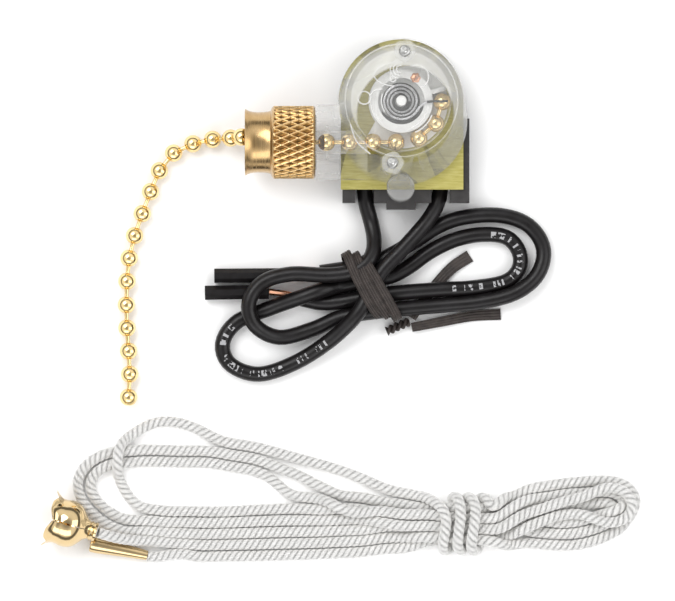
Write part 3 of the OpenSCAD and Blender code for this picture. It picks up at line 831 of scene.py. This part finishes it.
def make_chain():
    stem = sorted(islands("stem_balls"), key=lambda c: c[0])
    pull = sorted(islands("pull_balls"), key=lambda c: -c[1])
    # The balls outside lie in one line: each next one is the nearest not yet taken
    line = [min(pull, key=lambda c: np.linalg.norm(c - stem[0]))]
    rest = [c for c in pull if c is not line[0]]
    while rest:
        line.append(min(rest, key=lambda c: np.linalg.norm(c - line[-1])))
        rest = [c for c in rest if c is not line[-1]]
    drum = sorted(islands("drum_balls"), key=lambda c: c[1])
    gold = MATERIALS["chain_brass"]
    balls = {"stem_balls": (stem, "pull_chain"), "pull_balls": (line, "pull_chain"), "drum_balls": (drum, "drum")}
    for node, (centres, body) in balls.items():
        beads = []
        for i, c in enumerate(centres):
            beads.append(bead(c, centres[min(i + 1, len(centres) - 1)] - centres[max(i - 1, 0)]))
        make(node + "_smooth", joined(beads), gold, body, 40, (node,))
    links = {"stem_links": (list(zip(stem[:-1], stem[1:])), "pull_chain"),
             "pull_links": ([(stem[0], line[0])] + list(zip(line[:-1], line[1:])), "pull_chain"),
             "drum_links": (list(zip(drum[:-1], drum[1:])), "drum")}
    for node, (pairs, body) in links.items():
        make(node + "_smooth", joined([dumbbell(a, b) for a, b in pairs]), gold, body, 50, (node,))


make_chain()

# ---------------------------------------------------------------- nut

def make_nut():
    """The turned nut: a diamond knurl round its grip, then a smooth flared mouth for the chain."""
    r = (nut_high[1] - nut_low[1]) / 2
    bore = 4.95
    starts, depth, grip = 32, 0.36, (0.35, 7.5)      # ridges each way round, cut depth, and where the knurl runs
    outside = [(bore, 0), (r - 0.35, 0), (r - 0.1, 0.2)]
    outside += [(r, x) for x in np.linspace(*grip, 72)]
    outside += [(r - 0.15, 7.7), (r - 0.4, 7.9), (5.7, 8.1), (5.56, 8.6), (5.48, 9.4), (5.45, 10.4), (5.5, 11.2),
                (5.62, 11.8), (5.82, 12.3), (6.0, 12.6), (6.02, 12.7), (5.9, 12.72)]
    inside = [(5.5, 12.6), (4.9, 12.2), (4.0, 11.6), (3.0, 10.6), (2.5, 9.5), (2.4, 8.2), (2.4, 7.6), (bore, 7.6)]

    def knurl(a, rr, x):
        if abs(rr - r) > 1e-6:
            return rr, x
        ridges = []
        for way, tall, thick in ((1, 1.0, 0.17), (-1, 0.8, 0.15)):
            from_ridge = abs((a / TAU * starts + way * x * 0.33) % 1 - 0.5)
            ridges.append(tall * math.exp(-(from_ridge / thick) ** 2))
        fade = max(0, min(1, (x - grip[0]) / 0.3, (grip[1] - x) / 0.3))
        return rr - depth * (1 - max(ridges)) * fade, x

    part = lathe(outside + inside, 512, wave=knurl)
    matrix = axes_from((-1, 0, 0), (nut_high[0], AXIS_Y, AXIS_Z))
    piece = make("nut_turned", placed(part, matrix), MATERIALS["nut_brass"], "nut", 50, ("flared_nut",))
    piece.data.materials.append(knurled_brass())
    for face in piece.data.polygons:
        along = nut_high[0] - face.center[0] / MM
        out = math.hypot(face.center[1] / MM - AXIS_Y, face.center[2] / MM - AXIS_Z)
        face.material_index = int(out > r - 0.45 and 0.4 < along < 7.5)


make_nut()

# ---------------------------------------------------------------- spring, cover, drum

def make_spring():
    angles = np.radians(np.arange(0, 1057, 8))
    share = angles / (3 * TAU)
    radius = 1.55 + 1.85 * share
    coil = np.column_stack([radius * np.cos(angles), radius * np.sin(angles), 9.3 + 2.1 * share])
    end = spline([coil[-1], (4.6, -0.2, 11.4), (8.4, 0, 11.4)], 0.3)
    line = resampled(np.vstack([coil, end[1:]]), 0.25)
    wire = swept_piece("return_spring_wire", [(line, 0.23, 12, None)], MATERIALS["spring_steel"], "drum",
                       ("return_spring",))
    wire.data.materials.append(dark_steel_and_shade())
    for face in wire.data.polygons:
        face.material_index = int(face.center[0] > 4.7 * MM)
    # A copper rivet holds the end of the wire's guide on the drum
    rivet = [(0.01, 10.9), (0.85, 10.9), (0.88, 11.0), (0.8, 11.1), (0.5, 11.2), (0.01, 11.22)]
    make("drum_rivet", placed(lathe(rivet, 48, wave=lambda a, r, h: (r * (1 + 0.09 * math.cos(6 * a)), h)),
                              Matrix.Translation((2.6, 4.2, 0))), MATERIALS["copper"], "drum", 40)


make_spring()
for name, width in (("clear_cover", 0), ("fibre_plate", 0), ("base_housing", 0.25), ("chain_drum", 0.1)):
    softened(name, width, MATERIALS[slot_of[name]], "drum" if name == "chain_drum" else "switch_body")


def open_underside(piece, level):
    """Takes away the faces that lie on the plate below, where two surfaces in one place would shade badly."""
    work = bmesh.new()
    work.from_mesh(piece.data)
    under = [f for f in work.faces if max(v.co.z for v in f.verts) < (level + 0.01) * MM]
    bmesh.ops.delete(work, geom=under, context="FACES")
    for v in work.verts:
        if v.co.z < (level + 0.01) * MM:
            v.co.z += 0.04 * MM
    work.to_mesh(piece.data)
    work.free()


open_underside(bpy.data.objects["clear_cover_moulded"], cover_low[2])

# ---------------------------------------------------------------- tie

TIE_TURNS = [(-7.1, -33.2), (-5.4, -33.4), (-3.7, -33.6)]
TIE_ANGLE = math.radians(29)
TIE_SIZE = (13.6, 6.9, 1.75)      # across the leads, high, and the strip's width


def ribbon(line, normals, widths, thick, ribs=4, closed=False, waves=None):
    """A flat ribbed strip along a line. normals point out of its face."""
    line, normals = np.array(line, float), np.array(normals, float)
    count = len(line)
    ahead = np.roll(line, -1, 0) - np.roll(line, 1, 0) if closed else np.gradient(line, axis=0)
    ahead /= np.linalg.norm(ahead, axis=1)[:, None]
    normals = normals - ahead * (normals * ahead).sum(1)[:, None]
    normals /= np.linalg.norm(normals, axis=1)[:, None]
    side = np.cross(ahead, normals)
    across = np.linspace(-0.5, 0.5, ribs * 6 + 1)
    top = thick * (0.72 + 0.28 * np.abs(np.cos(across * math.pi * ribs)))
    top[0] = top[-1] = thick * 0.35
    section = [(w, t) for w, t in zip(across, top)] + [(w, 0.0) for w in across[::-6]]
    verts, n = [], len(section)
    for i in range(count):
        lift = 0.0 if waves is None else waves[i]
        for w, t in section:
            verts.append(line[i] + side[i] * w * widths[i] + normals[i] * (t + lift))
    faces = []
    for i in range(count if closed else count - 1):
        j = (i + 1) % count
        for k in range(n):
            m = (k + 1) % n
            faces.append((i * n + k, j * n + k, j * n + m, i * n + m))
    if not closed:
        faces += [tuple(range(n - 1, -1, -1)), tuple((count - 1) * n + k for k in range(n))]
    return np.array(verts), faces


def make_tie():
    loops = []
    for k, (x, y) in enumerate(TIE_TURNS):
        a = np.linspace(0, TAU, 120, endpoint=False)
        half_y, half_z = TIE_SIZE[0] / 2 - 0.45, TIE_SIZE[1] / 2 - 0.6
        c, d = np.cos(a), np.sin(a)
        square = 0.7                                 # 1 is an ellipse, and less is squarer
        loop_y = half_y * np.sign(c) * np.abs(c) ** square
        loop_z = TIE_SIZE[1] / 2 + half_z * np.sign(d) * np.abs(d) ** square
        lean = (0.5, 0.1, -0.5)[k] * (c * c - 0.5) + 0.2 * np.sin(2 * a + k)
        local = np.column_stack([lean, loop_y, loop_z])
        out = np.column_stack([0 * c, c / half_y, d / half_z])
        turn = np.array(Matrix.Rotation(TIE_ANGLE, 3, "Z"))
        line = local @ turn.T + (x, y, 0)
        loops.append(ribbon(line, out @ turn.T, np.full(120, TIE_SIZE[2]), 0.45, closed=True,
                            waves=0.12 * np.sin(3 * a + 2 * k)))
    paper = MATERIALS["tie_paper"]
    make("tie_wraps_ribbon", joined(loops), paper, "switch_body", 35, ("tie_wraps",))
    upper = [(2.0, -39.2, 0.9), (3.4, -37.1, 0.8), (5.8, -33.9, 0.5), (9.2, -30.2, 0.3), (12.6, -27.9, 0.15)]
    lower = [(2.0, -40.9, 0.9), (7.2, -39.9, 0.7), (13.0, -38.8, 0.3), (18.2, -38.5, 0.1)]
    for name, points, last in (("tie_tail_upper", upper, 2.3), ("tie_tail_lower", lower, 2.1)):
        line = spline(points, 0.4)
        tail = ribbon(line, [(0, 0, 1)] * len(line), np.linspace(1.7, last, len(line)), 0.38)
        make(name + "_ribbon", tail, paper, "switch_body", 35, (name,))
    # The two ends are twisted round each other where they leave the wraps
    line = resampled(np.array([(-2.6, -41.6, 1.0), (1.6, -39.8, 0.95)]), 0.1)
    turn = np.linspace(0, 2.2 * TAU, len(line))
    strands = []
    for a in (turn, turn + math.pi):
        strands.append((line, 0.46, 8, 0.42 * np.column_stack([np.cos(a), np.sin(a)])))
    swept_piece("tie_twist_ribbon", strands, paper, "switch_body", ("tie_twist",))


make_tie()

# ---------------------------------------------------------------- moulded details of the cover, drawn as painted highlight lines

def ring_line(x, y, z, radius, start=0.0, end=360.0):
    """Points of an arc in the plane of the plate, every 5 degrees."""
    a = np.radians(np.linspace(start, end, max(4, int(abs(end - start) / 5))))
    return np.column_stack([x + radius * np.cos(a), y + radius * np.sin(a), 0 * a + z])


def make_cover_details():
    top = cover_high[2]
    under = top - 1.4                                # the underside of the drum room's roof
    flange = cover_low[2] + 1.45
    faint = clear_plastic("clear_faint_highlight", 0.12, 0.6, (0.93, 0.93, 0.91))
    edge = clear_plastic("clear_edge_highlight", 0.45, 0.9, (0.95, 0.95, 0.94))
    # Painted highlights: thin whitish tubes along the cover's top edge, wall step and flange edge, and tubes of a
    # paler, more opaque clear along the moulded ridges, stand for the light their edges catch.
    edge_highlight_rings = [ring_line(0, 0, top - 0.16, 10.12), ring_line(0, 0, cover_low[2] + 7.1, 8.95),
             ring_line(0, 0, flange, 11.3, -30, 215)]
    ribs = [ring_line(0.3, -3.4, flange, 11.5, -115, 12)]
    ribs += [ring_line(x, y, under, *rest) for x, y, *rest in (
        (-6.7, 0.5, 1.15), (-1.5, 3.9, 0.5), (-0.3, 5.7, 0.6, 60, 290), (-0.3, 5.7, 1.15, 70, 280),
        (-0.3, 5.7, 1.7, 90, 260), (2.8, 4.3, 2.1, -70, 120), (0, 0, 3.6, 160, 215), (0.4, -0.6, 4.4, -75, -8),
        (0.5, -0.8, 5.3, -68, -20))]
    ribs += [spline([(x, y, under) for x, y in points], 0.3) for points in (
        [(-5.1, 4.6), (-3.9, 6.1), (-1.9, 6.8), (0.2, 7.0)], [(-5.1, 4.6), (-4.2, 3.5), (-2.6, 2.8), (-1.4, 2.6)],
        [(-5.6, 1.0), (-4.8, 1.9), (-3.4, 2.1)], [(-5.6, -0.4), (-5.0, -2.2), (-3.4, -3.7)],
        [(-9.2, -4.3), (-8.0, -7.4), (-5.6, -9.6)])]
    for name, lines, thick, look in (("edge_highlight_rings", edge_highlight_rings, 0.1, faint), ("ribs", ribs, 0.13, edge)):
        swept_piece(f"clear_cover_{name}", [(line, thick, 8, None) for line in lines], look, "switch_body")


make_cover_details()


def make_pins():
    """Melted-over heads: a dull dimpled middle in a ring of clear plastic."""
    edge = clear_plastic("clear_melt", 0.16, 0.75, (0.93, 0.93, 0.92))
    for side, (x, y) in (("top", (0.6, 8.9)), ("bottom", (-1.6, -11.2))):
        foot, top = (corner[2] for corner in box_mm(f"stake_pin_{side}"))
        profile = [(0.01, foot), (0.98, foot), (0.98, top - 0.2), (0.86, top - 0.02), (0.7, top), (0.52, top - 0.12),
                   (0.25, top - 0.3), (0.01, top - 0.34)]

        def dents(a, r, h, turn=x):
            return r * (1 + 0.05 * math.cos(3 * a + turn) * (h > top - 0.4)), h

        matrix = Matrix.Translation((x, y, 0))
        make(f"stake_pin_{side}_head", placed(lathe(profile, 48, wave=dents), matrix), MATERIALS["pin_metal"],
             "switch_body", 50, (f"stake_pin_{side}",))
        ring = [(1.02, top - 0.5), (1.05, top - 0.1), (1.2, top), (1.36, top - 0.05), (1.5, top - 0.2),
                (1.62, top - 0.36), (1.9, top - 0.42), (1.95, top - 0.49)]

        def melt(a, r, h, turn=y):
            return r * (1 + 0.04 * math.sin(5 * a + turn) * (r > 1.1)), h

        make(f"stake_melt_{side}", placed(lathe(ring, 64, wave=melt), matrix), edge, "switch_body",
             50)


def make_post():
    foot, top = (corner[2] for corner in box_mm("hub_post"))
    profile = [(0.01, foot), (0.94, foot), (0.94, top - 0.22), (0.84, top - 0.08), (0.55, top - 0.06),
               (0.01, top - 0.06)]
    make("hub_post_turned", lathe(profile, 48), MATERIALS["post_plastic"], "switch_body", 50,
         ("hub_post",))
    # Painted shade: a dark disc lies on the floor of the drum's well, under the spring, with a dark strip standing
    # round it, in place of the shadow in the well.
    shade_disc_profile = [(1.05, 8.42), (3.35, 8.42), (3.4, 8.5), (3.35, 8.6), (1.05, 8.6)]
    make("well_floor_shade", lathe(shade_disc_profile, 64), dark_steel_and_shade(), "drum", 40)
    line = np.array([(3.95 * math.cos(a), 3.95 * math.sin(a), 10.6) for a in np.radians(np.arange(-152, -7, 6))])
    widths = 0.1 + 0.9 * np.sin(np.linspace(0, 1, len(line)) * math.pi) ** 0.6
    shade = ribbon(line, [(0, 0, 1)] * len(line), widths, 0.3, 1)
    make("spring_shade", shade, dark_steel_and_shade(), "drum", 35)


make_pins()
make_post()

# ---------------------------------------------------------------- floor, light

WORLD_LIGHT = 0.87
# How bright the surroundings are at each height, from the horizon to overhead: the dark bands show in the metal
WORLD_BANDS = ((0.0, 0.9), (0.05, 0.5), (0.1, 0.22), (0.3, 0.22), (0.38, 1.1), (0.6, 1.3), (0.82, 1.2), (0.94, 0.6),
               (1.0, 0.38))


def make_stage():
    mesh = bpy.data.meshes.new("floor")
    size = 3.0
    mesh.from_pydata([(-size, -size, 0), (size, -size, 0), (size, size, 0), (-size, size, 0)], [], [(0, 1, 2, 3)])
    floor = bpy.data.objects.new("floor", mesh)
    m = new_material("floor", grey(0.93), 0.9)
    link(m, ramp(m, noise(m, coordinates(m), 3), [(0.3, grey(0.965)), (0.7, grey(0.975))]), "Base Color")
    mesh.materials.append(m)
    bpy.context.scene.collection.objects.link(floor)

    world = bpy.data.worlds.new("world")
    world.use_nodes = True
    tree = world.node_tree
    tree.nodes["Background"].inputs["Strength"].default_value = WORLD_LIGHT
    split = tree.nodes.new("ShaderNodeSeparateXYZ")
    tree.links.new(tree.nodes.new("ShaderNodeTexCoord").outputs["Generated"], split.inputs["Vector"])
    bands = ramp(world, split.outputs["Z"], [(place, grey(value)) for place, value in WORLD_BANDS])
    tree.links.new(bands, tree.nodes["Background"].inputs["Color"])
    bpy.context.scene.world = world

    def area(name, place, size_m, watts):
        data = bpy.data.lights.new(name, "AREA")
        data.shape = "RECTANGLE"
        data.size, data.size_y = size_m
        data.energy = watts
        lamp = bpy.data.objects.new(name, data)
        lamp.location = place
        lamp.rotation_euler = (aim - Vector(place)).to_track_quat("-Z", "Y").to_euler()
        bpy.context.scene.collection.objects.link(lamp)

    aim = Vector((-0.011, -0.036, 0))
    area("key", (-0.35, 0.35, 0.75), (0.6, 0.45), 3.7)
    area("fill", (0.55, -0.1, 0.55), (0.45, 0.6), 1.4)
    area("front", (-0.1, -0.6, 0.5), (0.7, 0.35), 1.3)
    bpy.context.scene.view_settings.view_transform = "Standard"


make_stage()
